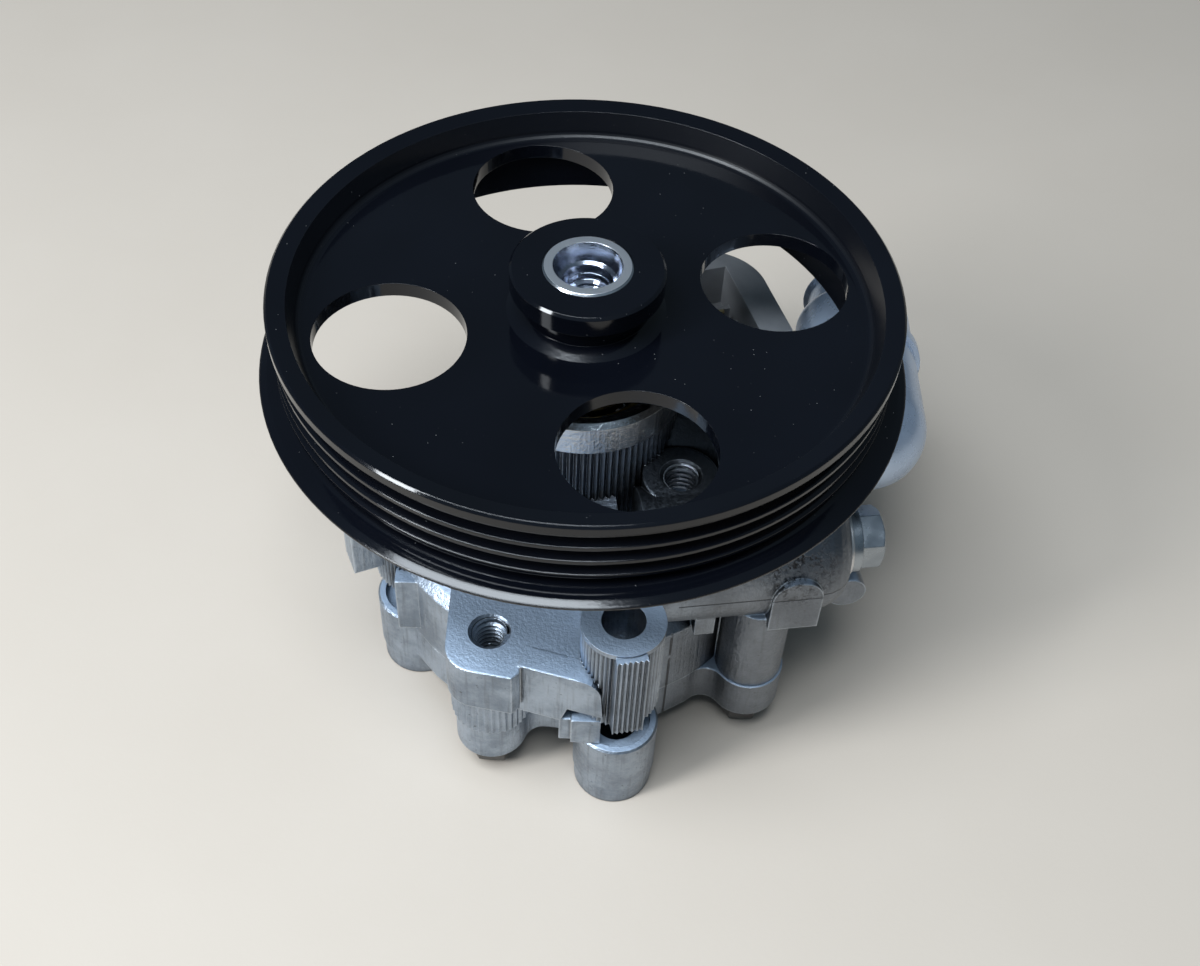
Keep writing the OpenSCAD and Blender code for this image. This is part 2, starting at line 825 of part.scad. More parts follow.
module housing_bores() {
    // Bearing, retaining ring, seal, bushing and chamber, one below the other
    translate([0, 0, bearing_low])
        cylinder(r = bearing_d / 2 + fit_gap, h = nose_z - bearing_low + cut);
    translate([0, 0, bearing_top])
        cylinder(r = bearing_d / 2 + circlip_deep, h = circlip_t);
    translate([0, 0, bearing_low - cut])
        cylinder(r = bearing_d / 2 - race_t + fit_gap, h = 2 * cut);
    translate([0, 0, seal_low])
        cylinder(d = seal_d, h = seal_w + seal_gap + cut);
    translate([0, 0, chamber_z - cut])
        cylinder(r = bush_r, h = seal_low - chamber_z + 2 * cut);
    translate([0, 0, seam_z - cut])
        cylinder(r = chamber_r, h = chamber_z - seam_z + cut);
    for (side = [-1, 1])
        translate([0, side * dowel_circle_d / 2, chamber_z - cut])
            cylinder(d = dowel_d + 2 * fit_gap, h = dowel_sink + cut);
    // Mounting bores, bolt threads and boss threads
    for (i = [0:len(mount_polar) - 1])
        at_mount(i)
            translate([0, 0, seam_z])
                cylinder(d = mount_bore_d, h = i == 2 ? column_low + short_column_h - seam_z - 2 : column_top - seam_z + cut);
    for (p = bolt_polar)
        translate(concat(polar(p), [seam_z - cut]))
            cylinder(r = bolt_r + thread_gap, h = bolt_grip + 2 * cut);
    threaded_hole(ear_at, ear_z, boss_thread_depth);
    threaded_hole(boss_at, boss_z, front_boss_depth);
    // Valve bore with a spot face for the plug, inlet seat and outlet thread
    at_valve(valve_bore_start)
        cylinder(r = valve_bore_r, h = barrel_end - valve_bore_start + cut);
    at_valve(barrel_end - washer_t / 2)
        cylinder(r = spot_r, h = cut);
    translate([inlet_seat_x, inlet_y, inlet_z])
        rotate([0, 90, 0])
            cylinder(r = tube_r + fit_gap, h = inlet_boss_x - inlet_seat_x + cut);
    translate([outlet_x, outlet_y - outlet_depth, outlet_z])
        rotate([-90, 0, 0])
            cylinder(d = outlet_thread_d, h = outlet_depth + cut);
}

// Outline of the cover: drum circle and lobes, blended into each other
module cover_outline() {
    offset(r = -blend_r)
        offset(r = blend_r) {
            circle(r = drum_r);
            for (p = bolt_polar)
                translate(polar(p))
                    circle(r = lobe_r);
            for (p = mount_polar)
                translate(polar(p))
                    circle(r = foot_r - foot_taper);
            translate(block_at)
                circle(r = pad_r);
        }
}

module mounting_foot() {
    rotate_extrude()
        polygon([[0, floor_z], [foot_r - 2 * foot_taper, floor_z], [foot_r - foot_taper, floor_z + foot_taper],
            [foot_r - foot_taper, floor_z + foot_band_h], [foot_r, floor_z + foot_band_h + foot_taper],
            [foot_r, foot_top - foot_taper], [foot_r - foot_taper, foot_top], [0, foot_top]]);
}

module rear_cover() {
    color("#aeb3ba")
    difference() {
        union() {
            translate([0, 0, cover_low])
                linear_extrude(cover_t)
                    cover_outline($fn = 40);
            for (i = [0:len(mount_polar) - 1])
                at_mount(i)
                    mounting_foot();
        }
        // The feet rise past the seam only outside the drum
        translate([0, 0, seam_z])
            cylinder(r = pocket_in_r + pocket_gap, h = foot_rise + cut);
        for (i = [0:len(mount_polar) - 1])
            at_mount(i) {
                translate([0, 0, floor_z - cut])
                    cylinder(d = mount_bore_d, h = foot_top - floor_z + 2 * cut);
                translate([0, 0, foot_top - foot_dish_h])
                    cylinder(r = foot_dish_r, h = foot_dish_h + cut);
            }
        for (p = bolt_polar)
            translate(concat(polar(p), [cover_low - cut]))
                cylinder(r = bolt_r + 4 * thread_gap, h = cover_t + 2 * cut);
        translate([0, 0, seam_z - spring_room_h])
            cylinder(r = spring_room_r, h = spring_room_h + cut);
        translate([0, 0, seam_z - cover_ring_d])
            tube(cover_ring_r + cover_ring_d / 2 + fit_gap, cover_ring_r - cover_ring_d / 2 - fit_gap,
                cover_ring_d + cut);
    }
}

// Hexagon whose corners are chamfered at its outer end
module hex_head(af, h) {
    corner_r = af / sqrt(3);
    face_r = af * hex_face;
    intersection() {
        cylinder(r = corner_r, h = h, $fn = 6);
        cylinder(r1 = face_r + h / tan(30), r2 = face_r, h = h);
    }
}

module cover_bolts() {
    color("#8f949b")
    for (p = bolt_polar)
        translate(concat(polar(p), [cover_low])) {
            cylinder(r = bolt_r, h = cover_t + bolt_grip);
            translate([0, 0, -bolt_flange_h])
                cylinder(r = bolt_flange_r, h = bolt_flange_h);
            rotate([180, 0, 0])
                hex_head(bolt_af, bolt_head_h + bolt_flange_h);
        }
}

// Round plate with a shaft hole, dowel holes and a pair of ports
module port_plate(low, t) {
    difference() {
        translate([0, 0, low])
            tube(chamber_r - fit_gap, plate_hole_r, t);
        for (side = [-1, 1])
            translate([0, side * dowel_circle_d / 2, low - cut])
                cylinder(d = dowel_d + 2 * fit_gap, h = t + 2 * cut);
        for (turn = [45, 225])
            rotate(turn - kidney_a / 2)
                translate([0, 0, low - cut])
                    rotate_extrude(angle = kidney_a)
                        translate([rotor_r - kidney_w / 2, 0])
                            square([kidney_w, t + 2 * cut]);
    }
}

module thrust_plate() {
    color("#77797d")
    port_plate(thrust_low, thrust_plate_t);
}

module pressure_plate() {
    color("#77797d")
    difference() {
        port_plate(seam_z, pressure_plate_t);
        translate([0, 0, seam_z + pressure_plate_t / 2 - plate_ring_d / 2 - fit_gap])
            tube(chamber_r + cut, chamber_r - plate_ring_d - 2 * fit_gap, plate_ring_d + 2 * fit_gap);
    }
}

// Oval that the vane tips follow, close to the rotor at two places and away from it at two
cam_outline = [for (i = [0:cam_points - 1])
    polar([cam_min_r + cam_lift * (1 + cos(2 * i * 360 / cam_points)) / 2, i * 360 / cam_points])];

module cam_ring() {
    color("#85878c")
    translate([0, 0, cam_low])
        linear_extrude(cam_ring_t)
            difference() {
                circle(r = chamber_r - fit_gap);
                polygon(cam_outline);
                for (side = [-1, 1])
                    translate([0, side * dowel_circle_d / 2])
                        circle(d = dowel_d + 2 * fit_gap);
            }
}

module dowel_pins() {
    color("#cfd1d4")
    for (side = [-1, 1])
        translate([0, side * dowel_circle_d / 2, seam_z + cut])
            cylinder(d = dowel_d, h = chamber_z + dowel_sink - seam_z - cut);
}

// Coil of round wire from z = 0 to z = l, as one swept tube
module coil(r, wire, l, turns) {
    steps = turns * spring_steps;
    climb = (l - wire) / steps;
    points = [for (i = [0:steps], k = [0:spring_sides - 1])
        let (p = polar([r + wire / 2 * cos(k * 360 / spring_sides), i * 360 / spring_steps]))
            [p[0], p[1], wire / 2 + i * climb + wire / 2 * sin(k * 360 / spring_sides)]];
    sides = [for (i = [0:steps - 1], k = [0:spring_sides - 1])
        [i * spring_sides + k, i * spring_sides + (k + 1) % spring_sides,
         (i + 1) * spring_sides + (k + 1) % spring_sides, (i + 1) * spring_sides + k]];
    start = [for (k = [spring_sides - 1:-1:0]) k];
    end = [for (k = [0:spring_sides - 1]) steps * spring_sides + k];
    polyhedron(points, concat([start], sides, [end]));
}

module pressure_plate_spring() {
    color("#9ea1a6")
    translate([0, 0, seam_z - spring_room_h])
        coil(plate_spring_r, plate_spring_wire, spring_room_h, 2);
}

module o_ring(r, d) {
    rotate_extrude()
        translate([r, 0])
            circle(d = d);
}

module cover_o_ring() {
    color("#1c1c1c")
    translate([0, 0, seam_z - cover_ring_d / 2])
        o_ring(cover_ring_r, cover_ring_d - 2 * fit_gap);
}

module plate_o_ring() {
    color("#1c1c1c")
    translate([0, 0, seam_z + pressure_plate_t / 2])
        o_ring(chamber_r - plate_ring_d / 2 - fit_gap, plate_ring_d - 2 * fit_gap);
}

module flow_valve_spool() {
    color("#c2c4c8")
    at_valve(spool_start)
        rotate_extrude()
            polygon([[0, 0], [valve_bore_r - run_gap, 0], [valve_bore_r - run_gap, spool_land],
                [spool_waist_r, spool_land], [spool_waist_r, spool_l - spool_land],
                [valve_bore_r - run_gap, spool_l - spool_land], [valve_bore_r - run_gap, spool_l],
                [0, spool_l]]);
}

module flow_valve_spring() {
    color("#9ea1a6")
    at_valve(valve_bore_start)
        coil(valve_spring_r, valve_wire_d, spring_l, valve_spring_turns);
}

module valve_plug() {
    color("#b9c0c4")
    at_valve(spool_end) {
        cylinder(r = valve_bore_r - thread_gap, h = plug_nose + washer_t);
        translate([0, 0, plug_nose + washer_t / 2])
            cylinder(r = plug_flange_r, h = plug_flange_h);
        translate([0, 0, plug_nose + washer_t / 2])
            hex_head(plug_af, plug_flange_h + plug_hex_h);
    }
}

module plug_washer() {
    color("#b9bec4")
    at_valve(barrel_end - washer_t / 2)
        tube(washer_r, valve_bore_r + fit_gap, washer_t);
}

// Moves its children to the elbow's corner
module at_elbow() {
    translate([elbow_x, inlet_y, inlet_z])
        children();
}

module inlet_elbow() {
    color("#c3c7cc")
    difference() {
        union() {
            translate([inlet_seat_x, inlet_y, inlet_z])
                rotate([0, 90, 0])
                    cylinder(r = tube_r, h = elbow_x - inlet_seat_x);
            at_elbow()
                sphere(r = tube_r);
            translate([elbow_x, 0, inlet_z])
                rotate([-90, 0, 0])
                    rotate_extrude()
                        polygon(concat(
                            [[0, inlet_y], [tube_r, inlet_y], [tube_r, bead_y], [tube_r + bead_out, bead_y],
                             [tube_r + bead_out, bead_y + bead_w], [tube_r, bead_y + bead_w]],
                            arc([tube_r - hose_round, shoulder_y - hose_round], hose_round, 0, 70, 5),
                            [[hose_r, shoulder_y + 1], [hose_r, inlet_end_y - hose_bead_w],
                             [hose_r + hose_bead_out, inlet_end_y - hose_bead_w / 2], [hose_r, inlet_end_y],
                             [0, inlet_end_y]]));
        }
        translate([inlet_seat_x - cut, inlet_y, inlet_z])
            rotate([0, 90, 0])
                cylinder(r = tube_in_r, h = elbow_x - inlet_seat_x + cut);
        at_elbow()
            sphere(r = tube_in_r);
        translate([elbow_x, inlet_y, inlet_z])
            rotate([-90, 0, 0]) {
                cylinder(r = tube_in_r, h = shoulder_y - inlet_y - 3);
                cylinder(r = hose_in_r, h = inlet_end_y - inlet_y + cut);
            }
        translate([inlet_ring_x, inlet_y, inlet_z])
            rotate([0, 90, 0])
                translate([0, 0, -inlet_ring_d / 2])
                    tube(tube_r + cut, tube_r - tube_wall / 2, inlet_ring_d);
    }
}

module inlet_o_ring() {
    color("#1c1c1c")
    translate([inlet_ring_x, inlet_y, inlet_z])
        rotate([0, 90, 0])
            tube_ring();
}

// Square-cut seal ring that fills the groove on the inlet tube
module tube_ring() {
    translate([0, 0, fit_gap - inlet_ring_d / 2])
        tube(tube_r, tube_r - tube_wall / 2 + fit_gap, inlet_ring_d - 2 * fit_gap);
}

// Moves its children to the middle of the connector block's round end
module at_block(z) {
    translate([block_at[0], block_at[1], z])
        rotate(block_turn)
            children();
}

module connector_housing() {
    color("#24272b")
    at_block(block_low)
        difference() {
            union() {
                cylinder(d = block_w, h = block_h);
                translate([-block_w / 2, -block_l, 0])
                    cube([block_w, block_l, block_h]);
            }
            translate([-socket_w / 2, socket_back - socket_l, block_h - socket_h])
                cube([socket_w, socket_l, socket_h + cut]);
        }
    color("#24272b")
    for (i = [1:rung_count])
        at_block(block_top - socket_h)
            translate([-socket_w / 2 - cut, socket_back - i * socket_l / (rung_count + 1), 0])
                cube([socket_w + 2 * cut, rung_t, rung_h]);
}

module connector_terminals() {
    color("#c9b27a")
    for (side = [-1, 1])
        at_block(block_top - socket_h)
            translate([side * terminal_gap / 2 - terminal_w / 2, socket_back - 1.5 * socket_l / (rung_count + 1), 0])
                cube([terminal_w, terminal_t, terminal_h]);
}

pulley();
drive_shaft();
rotor();
for (i = [1:vane_count])
    vane(i);
rotor_retaining_ring();
bearing_inner_ring();
bearing_outer_ring();
bearing_cage();
for (i = [1:ball_count])
    bearing_ball(i);
bearing_retaining_ring();
shaft_seal();
shaft_bushing();
front_housing();
rear_cover();
cover_bolts();
thrust_plate();
cam_ring();
pressure_plate();
pressure_plate_spring();
dowel_pins();
cover_o_ring();
plate_o_ring();
flow_valve_spool();
flow_valve_spring();
valve_plug();
plug_washer();
inlet_elbow();
inlet_o_ring();
connector_housing();
connector_terminals();
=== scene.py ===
"""Looks of a belt-driven power steering pump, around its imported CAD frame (metres, +Z along the shaft)."""

import json
import math

import bmesh
import bpy
from mathutils import Matrix, Vector


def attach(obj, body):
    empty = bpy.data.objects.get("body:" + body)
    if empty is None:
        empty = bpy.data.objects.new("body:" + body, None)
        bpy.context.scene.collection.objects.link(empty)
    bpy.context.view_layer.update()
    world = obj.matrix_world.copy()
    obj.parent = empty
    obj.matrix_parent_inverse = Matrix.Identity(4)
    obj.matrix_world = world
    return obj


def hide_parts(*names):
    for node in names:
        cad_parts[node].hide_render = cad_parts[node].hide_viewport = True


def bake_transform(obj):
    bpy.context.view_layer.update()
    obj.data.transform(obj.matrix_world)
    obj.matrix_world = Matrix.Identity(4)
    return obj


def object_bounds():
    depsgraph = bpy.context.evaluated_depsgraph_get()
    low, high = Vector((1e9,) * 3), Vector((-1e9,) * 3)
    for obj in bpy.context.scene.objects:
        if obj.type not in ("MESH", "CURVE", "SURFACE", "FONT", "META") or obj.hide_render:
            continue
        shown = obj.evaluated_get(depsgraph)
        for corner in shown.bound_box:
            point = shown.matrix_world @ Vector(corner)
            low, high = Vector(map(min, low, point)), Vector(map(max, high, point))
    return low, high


MM = 0.001

# Photograph's camera, solved from the pulley's ellipses
CAMERA_AT = Vector((0.0, -0.2096, 0.1906))
CAMERA_PAN = 0.02087
CAMERA_TILT = 0.84535
CAMERA_ROLL = 0.05530
CAMERA_LENS = 44.546
SENSOR_WIDTH = 36
NEAREST_SEEN = 10 * MM

# Stage: half the floor's width, its two tones, and the room, which is lightest up and in front
FLOOR_REACH = 3.0
FLOOR_DARK = (0.45, 0.395, 0.335, 1)
FLOOR_LIGHT = (0.48, 0.425, 0.365, 1)
ROOM_COLOUR = (0.62, 0.82, 1.0, 1)
ROOM_LEAN = (0.0, -0.55, 0.83)
ROOM_STRENGTH = {"From Min": 0.35, "From Max": 0.95, "To Min": 0.13, "To Max": 0.24}

# Threads that show, each in the hole of a mount of the record
THREADS = {
    "shaft_thread_ridge": {"mount": "shaft_thread", "top": 8.3 * MM, "turns": 9, "pitch": 1.5 * MM,
                           "body": "rotor_group", "slot": "shaft_steel"},
    "ear_thread_ridge": {"mount": "ear_thread", "top": -44.6 * MM, "turns": 9, "pitch": 1.25 * MM,
                         "body": "housing", "slot": "cast_aluminium"},
    "boss_thread_ridge": {"mount": "front_boss_thread", "top": -24.6 * MM, "turns": 6, "pitch": 1.25 * MM,
                          "body": "housing", "slot": "cast_aluminium"},
}
THREAD_STEPS = 40
THREAD_RUN_OUT = 0.7
THREAD_SUNK = 0.03 * MM

# Zones of the pulley by distance from the shaft: each fades in between two marks, and out between two more
RIDGE_CRESTS = (57.0 * MM, 57.4 * MM, 59.2 * MM, 59.6 * MM)
INNER_RIM = (52.8 * MM, 53.5 * MM, 55.0 * MM, 55.6 * MM)
FLANGE_LIP = (60.4 * MM, 60.8 * MM)

# Rounding of the pulley's edges, and what the crests and the lip have instead of it or beyond it
COAT_EDGE = 0.14 * MM
CREST_EDGE = 0.32 * MM
LIP_EXTRA = 0.55 * MM

# Colours of the pulley's coat
COAT_DARK = (0.0012, 0.0015, 0.0026, 1)
COAT_LIGHT = (0.0026, 0.0034, 0.0060, 1)
COAT_DUST = (0.16, 0.16, 0.16, 1)
COAT_WORN = (0.14, 0.15, 0.165, 1)

# Distances and heights between which the casting's edges turn from soft to crisp
COLUMN_CRISP = (10.8 * MM, 10.0 * MM)
EAR_CRISP = (9.4 * MM, 8.8 * MM)
NECK_CRISP = (21.5 * MM, 20.5 * MM)
FOOT_CRISP = (-78.0 * MM, -78.6 * MM)
SOFT_EDGE = 0.7 * MM
CRISP_EDGE = 0.12 * MM

# Where the casting is darker along X (painted shade, with some dirt), has painted shade under the pulley,
# painted light on top, and is turned on a lathe
SIDE_SHADE_X = (15 * MM, 45 * MM)
SIDE_SHADE_RAGGED = 30 * MM
PULLEY_SHADE_R = (42 * MM, 34 * MM)
PULLEY_SHADE_Z = (-42 * MM, -34 * MM)
LIT_TOPS_Z = (-30 * MM, -33 * MM)
NOSE_Z = (-15.5 * MM, -15.0 * MM)
NOSE_R = (21.2 * MM, 20.6 * MM)

# Mould marks: the barrel's parting level from this X on, an upright line on the drum's wall, and opened pores
VALVE_Z = -37 * MM
PARTING_FROM = 20 * MM
SLIDE_LINE = (19.7 * MM, -36 * MM)
PORES_AT = (43 * MM, -33.5 * MM, -31 * MM)

# Colours of the casting. Those for the tops and edges are painted light; those for the +X side, under the
# pulley, and corners and grooves are painted shade, partly dirt and grime
SKIN_DARK = (0.22, 0.265, 0.325, 1)
SKIN_LIGHT = (0.41, 0.475, 0.56, 1)
SKIN_STAIN = (0.17, 0.18, 0.19, 1)
SKIN_SPECK = (0.07, 0.07, 0.072, 1)
SKIN_STREAK = (0.13, 0.14, 0.15, 1)
SKIN_TOP_LIGHT = (0.62, 0.76, 0.93, 1)
SKIN_RUBBED_HIGHLIGHT = (0.76, 0.84, 0.93, 1)
SIDE_SHADE_AND_DIRT = (0.135, 0.137, 0.142, 1)
PULLEY_SHADE = (0.045, 0.05, 0.058, 1)
CORNER_SHADE_AND_GRIME = (0.055, 0.058, 0.064, 1)
GROOVE_SHADE_AND_GRIME = (0.03, 0.032, 0.036, 1)
PORE_BLACK = (0.030, 0.022, 0.016, 1)
MOULD_LINE = (0.05, 0.05, 0.052, 1)
NOSE_DARK = (0.46, 0.49, 0.52, 1)
NOSE_LIGHT = (0.62, 0.65, 0.69, 1)

# The shaft's steel, and painted shade with a bluish painted reflection in the mouth of its bore
STEEL_DARK = (0.55, 0.58, 0.62, 1)
STEEL_LIGHT = (0.72, 0.75, 0.79, 1)
BORE_SHADE_DARK = (0.10, 0.12, 0.17, 1)
BORE_SHADE_LIGHT = (0.34, 0.38, 0.46, 1)
SHADED_MOUTH_R = (6.6 * MM, 6.0 * MM)


class Graph:
    """A procedural material's node tree, in the CAD frame's own coordinates."""

    def __init__(self, name, **principled):
        self.material = bpy.data.materials.new(name)
        self.material.use_nodes = True
        self.tree = self.material.node_tree
        self.shader = self.tree.nodes["Principled BSDF"]
        self.place = self.add("ShaderNodeTexCoord").outputs["Object"]
        for socket, value in principled.items():
            self.feed(self.shader, socket.replace("_", " ").title().replace("Ior", "IOR"), value)

    def feed(self, node, socket, value):
        target = node.inputs[socket]
        if isinstance(value, bpy.types.NodeSocket):
            self.tree.links.new(value, target)
        else:
            target.default_value = value

    def add(self, kind, inputs=None, **settings):
        node = self.tree.nodes.new(kind)
        for key, value in settings.items():
            setattr(node, key, value)
        for socket, value in (inputs or {}).items():
            self.feed(node, socket, value)
        return node

    def noise(self, size, detail=3.0, rough=0.55, place=None):
        """Noise whose features are about size metres across."""
        inputs = {"Vector": place or self.place, "Scale": 1 / size, "Detail": detail, "Roughness": rough}
        return self.add("ShaderNodeTexNoise", inputs).outputs["Fac"]

    def cells(self, size):
        """Distance to the nearest of points scattered about size metres apart."""
        return self.add("ShaderNodeTexVoronoi", {"Vector": self.place, "Scale": 1 / size}).outputs["Distance"]

    def math(self, operation, a, b=0.0, clamp=False):
        node = self.add("ShaderNodeMath", {0: a, 1: b}, operation=operation, use_clamp=clamp)
        return node.outputs[0]

    def ramp(self, value, low, high, start=0.0, end=1.0):
        """Value from low..high carried over to start..end, smoothly and clamped."""
        inputs = {"Value": value, "From Min": low, "From Max": high, "To Min": start, "To Max": end}
        return self.add("ShaderNodeMapRange", inputs, interpolation_type="SMOOTHSTEP").outputs["Result"]

    def band(self, value, marks):
        """Mask that fades in between the first two marks and out between the last two."""
        low, full, fading, high = marks
        return self.math("MULTIPLY", self.ramp(value, low, full), self.ramp(value, high, fading))

    def mix(self, factor, a, b):
        """Colour between a and b."""
        inputs = {0: factor, 6: a, 7: b}
        return self.add("ShaderNodeMix", inputs, data_type="RGBA").outputs[2]

    def blend(self, factor, a, b):
        """Number between a and b."""
        return self.add("ShaderNodeMix", {0: factor, 2: a, 3: b}).outputs[0]

    def occlusion(self, reach):
        """Openness of a place: 1 in the open, less in corners narrower than reach."""
        return self.add("ShaderNodeAmbientOcclusion", {"Distance": reach}, samples=8).outputs["AO"]

    def bevel(self, radius):
        return self.add("ShaderNodeBevel", {"Radius": radius}, samples=6).outputs["Normal"]

    def edges(self, radius, low=0.02, high=0.25):
        """Mask that is 1 on edges and 0 on open faces."""
        normal = self.add("ShaderNodeNewGeometry").outputs["Normal"]
        flat = self.vector("DOT_PRODUCT", normal, self.bevel(radius)).outputs["Value"]
        return self.ramp(self.math("SUBTRACT", 1.0, flat), low, high)

    def bump(self, height, distance, strength=1.0, normal=None):
        inputs = {"Height": height, "Distance": distance, "Strength": strength}
        if normal is not None:
            inputs["Normal"] = normal
        return self.add("ShaderNodeBump", inputs).outputs["Normal"]

    def vector(self, operation, a, b):
        return self.add("ShaderNodeVectorMath", {0: a, 1: b}, operation=operation)

    def axis(self, name):
        return self.add("ShaderNodeSeparateXYZ", {0: self.place}).outputs[name]

    def radius(self, at=(0.0, 0.0)):
        """Distance from an upright axis."""
        shifted = self.vector("SUBTRACT", self.place, (at[0], at[1], 0.0)).outputs[0]
        flat = self.vector("MULTIPLY", shifted, (1.0, 1.0, 0.0)).outputs[0]
        return self.add("ShaderNodeVectorMath", {0: flat}, operation="LENGTH").outputs["Value"]

    def rings(self, size, detail):
        """Noise in rings around the shaft, as a lathe tool leaves them."""
        place = self.add("ShaderNodeCombineXYZ", {"X": self.radius(), "Y": self.axis("Z")}).outputs[0]
        return self.noise(size, detail, place=place)

    def facing_up(self):
        normal = self.add("ShaderNodeNewGeometry").outputs["Normal"]
        return self.add("ShaderNodeSeparateXYZ", {0: normal}).outputs["Z"]

    def finish(self, colour=None, roughness=None, normal=None):
        for socket, value in (("Base Color", colour), ("Roughness", roughness), ("Normal", normal)):
            if value is not None:
                self.feed(self.shader, socket, value)
        return self.material


def grey(level, blue=0.0):
    return (level, level + blue * 0.4, level + blue, 1.0)


def mount(name):
    """Place and size of a mount of the record."""
    return next(m for m in frame["record"]["mounts"] if m["name"] == name)


def gloss_black():
    """Stove-enamelled steel: orange peel, haze, dust, worn edges, round crests and lip, a matt inner rim."""
    g = Graph("gloss_black", specular_ior_level=0.4)
    r = g.radius()
    haze = g.noise(30 * MM, 2.0)
    dust_and_shade = g.ramp(g.noise(12 * MM, 2.0), 0.48, 0.62)
    dust = g.math("MULTIPLY", g.ramp(g.cells(1.8 * MM), 0.07, 0.04), dust_and_shade)
    worn = g.math("MULTIPLY", g.edges(0.1 * MM, 0.1, 0.5), g.ramp(g.noise(3 * MM), 0.56, 0.70))
    colour = g.mix(haze, COAT_DARK, COAT_LIGHT)
    colour = g.mix(g.math("MULTIPLY", dust, 0.6), colour, COAT_DUST)
    colour = g.mix(g.math("MULTIPLY", worn, 0.35), colour, COAT_WORN)
    roughness = g.math("ADD", g.ramp(haze, 0.3, 0.7, 0.07, 0.12), g.math("MULTIPLY", dust, 0.4))
    roughness = g.math("ADD", roughness, g.math("MULTIPLY", g.band(r, INNER_RIM), 0.25))
    rounding = g.ramp(g.band(r, RIDGE_CRESTS), 0.0, 1.0, COAT_EDGE, CREST_EDGE)
    rounding = g.math("ADD", rounding, g.ramp(r, *FLANGE_LIP, 0.0, LIP_EXTRA))
    peel = g.math("ADD", g.noise(1.2 * MM, 1.0), g.math("MULTIPLY", g.noise(0.4 * MM, 1.0), 0.35))
    return g.finish(colour, roughness, g.bump(peel, 0.012 * MM, 0.5, g.bevel(rounding)))


def casting_rounding(g):
    """Radius of the casting's edges: crisp on serrated columns, the neck and the feet, and soft elsewhere."""
    crisp = 0.0
    for distance, marks in ((g.radius(mount("front_mount_bore")["pos_m"]), COLUMN_CRISP),
                            (g.radius(mount("left_mount_bore")["pos_m"]), COLUMN_CRISP),
                            (g.radius(mount("ear_thread")["pos_m"]), EAR_CRISP),
                            (g.radius(), NECK_CRISP),
                            (g.axis("Z"), FOOT_CRISP)):
        crisp = g.math("MAXIMUM", crisp, g.ramp(distance, *marks))
    return g.ramp(crisp, 0.0, 1.0, SOFT_EDGE, CRISP_EDGE)


def casting_skin(g):
    """Mottled skin: stains and specks, painted shade with some dirt on the valve's side, painted shade under
    the pulley, and painted shade with some grime in corners and grooves.
    """
    skin = g.mix(g.ramp(g.noise(12 * MM, 5.0, 0.62), 0.35, 0.65), SKIN_DARK, SKIN_LIGHT)
    skin = g.mix(g.ramp(g.noise(5 * MM, 6.0, 0.72), 0.56, 0.74, 0.0, 0.4), skin, SKIN_STAIN)
    skin = g.mix(g.ramp(g.noise(1.1 * MM, 2.0, 0.5), 0.67, 0.75, 0.0, 0.6), skin, SKIN_SPECK)
    # Darker towards +X: painted shade on the side away from the window, with some dirt
    ragged = g.math("MULTIPLY", g.noise(20 * MM, 4.0), SIDE_SHADE_RAGGED)
    skin = g.mix(g.ramp(g.math("ADD", g.axis("X"), ragged), *SIDE_SHADE_X, 0.0, 0.68), skin, SIDE_SHADE_AND_DIRT)
    # Painted shade under the pulley, near the neck
    dust_and_shade = g.math("MULTIPLY", g.ramp(g.radius(), *PULLEY_SHADE_R), g.ramp(g.axis("Z"), *PULLEY_SHADE_Z, 0.0, 0.75))
    skin = g.mix(dust_and_shade, skin, PULLEY_SHADE)
    # Painted shade, with some grime, in corners and in narrow grooves
    skin = g.mix(g.ramp(g.occlusion(5 * MM), 0.75, 0.25, 0.0, 0.8), skin, CORNER_SHADE_AND_GRIME)
    return g.mix(g.ramp(g.occlusion(1.1 * MM), 0.88, 0.5, 0.0, 0.9), skin, GROOVE_SHADE_AND_GRIME)


def casting_streaks(g, upward):
    """Streaks drawn along the upright walls when the casting left its mould."""
    drawn = g.vector("MULTIPLY", g.place, (1.0, 1.0, 0.06)).outputs[0]
    walls = g.ramp(g.math("ABSOLUTE", upward), 0.7, 0.4)
    return g.math("MULTIPLY", g.noise(0.9 * MM, 3.0, 0.6, drawn), walls)


def casting_pores(g):
    """Pores opened in the skin of the valve barrel."""
    distance = g.vector("DISTANCE", g.place, PORES_AT).outputs["Value"]
    patch = g.math("MULTIPLY", g.ramp(distance, 10 * MM, 2 * MM), g.ramp(g.noise(3 * MM, 4.0), 0.38, 0.62))
    return g.math("MULTIPLY", patch, g.ramp(g.noise(0.7 * MM, 3.0, 0.7), 0.45, 0.56))


def mould_lines(g):
    """Witness lines where the halves and slides of the mould met."""
    level = g.math("ABSOLUTE", g.math("SUBTRACT", g.axis("Z"), VALVE_Z))
    parting = g.ramp(level, 0.20 * MM, 0.08 * MM)
    parting = g.math("MULTIPLY", parting, g.math("GREATER_THAN", g.axis("X"), PARTING_FROM))
    upright = g.ramp(g.radius(SLIDE_LINE), 0.35 * MM, 0.18 * MM)
    upright = g.math("MULTIPLY", upright, g.ramp(g.noise(4 * MM), 0.36, 0.46))
    return g.math("MAXIMUM", parting, upright)


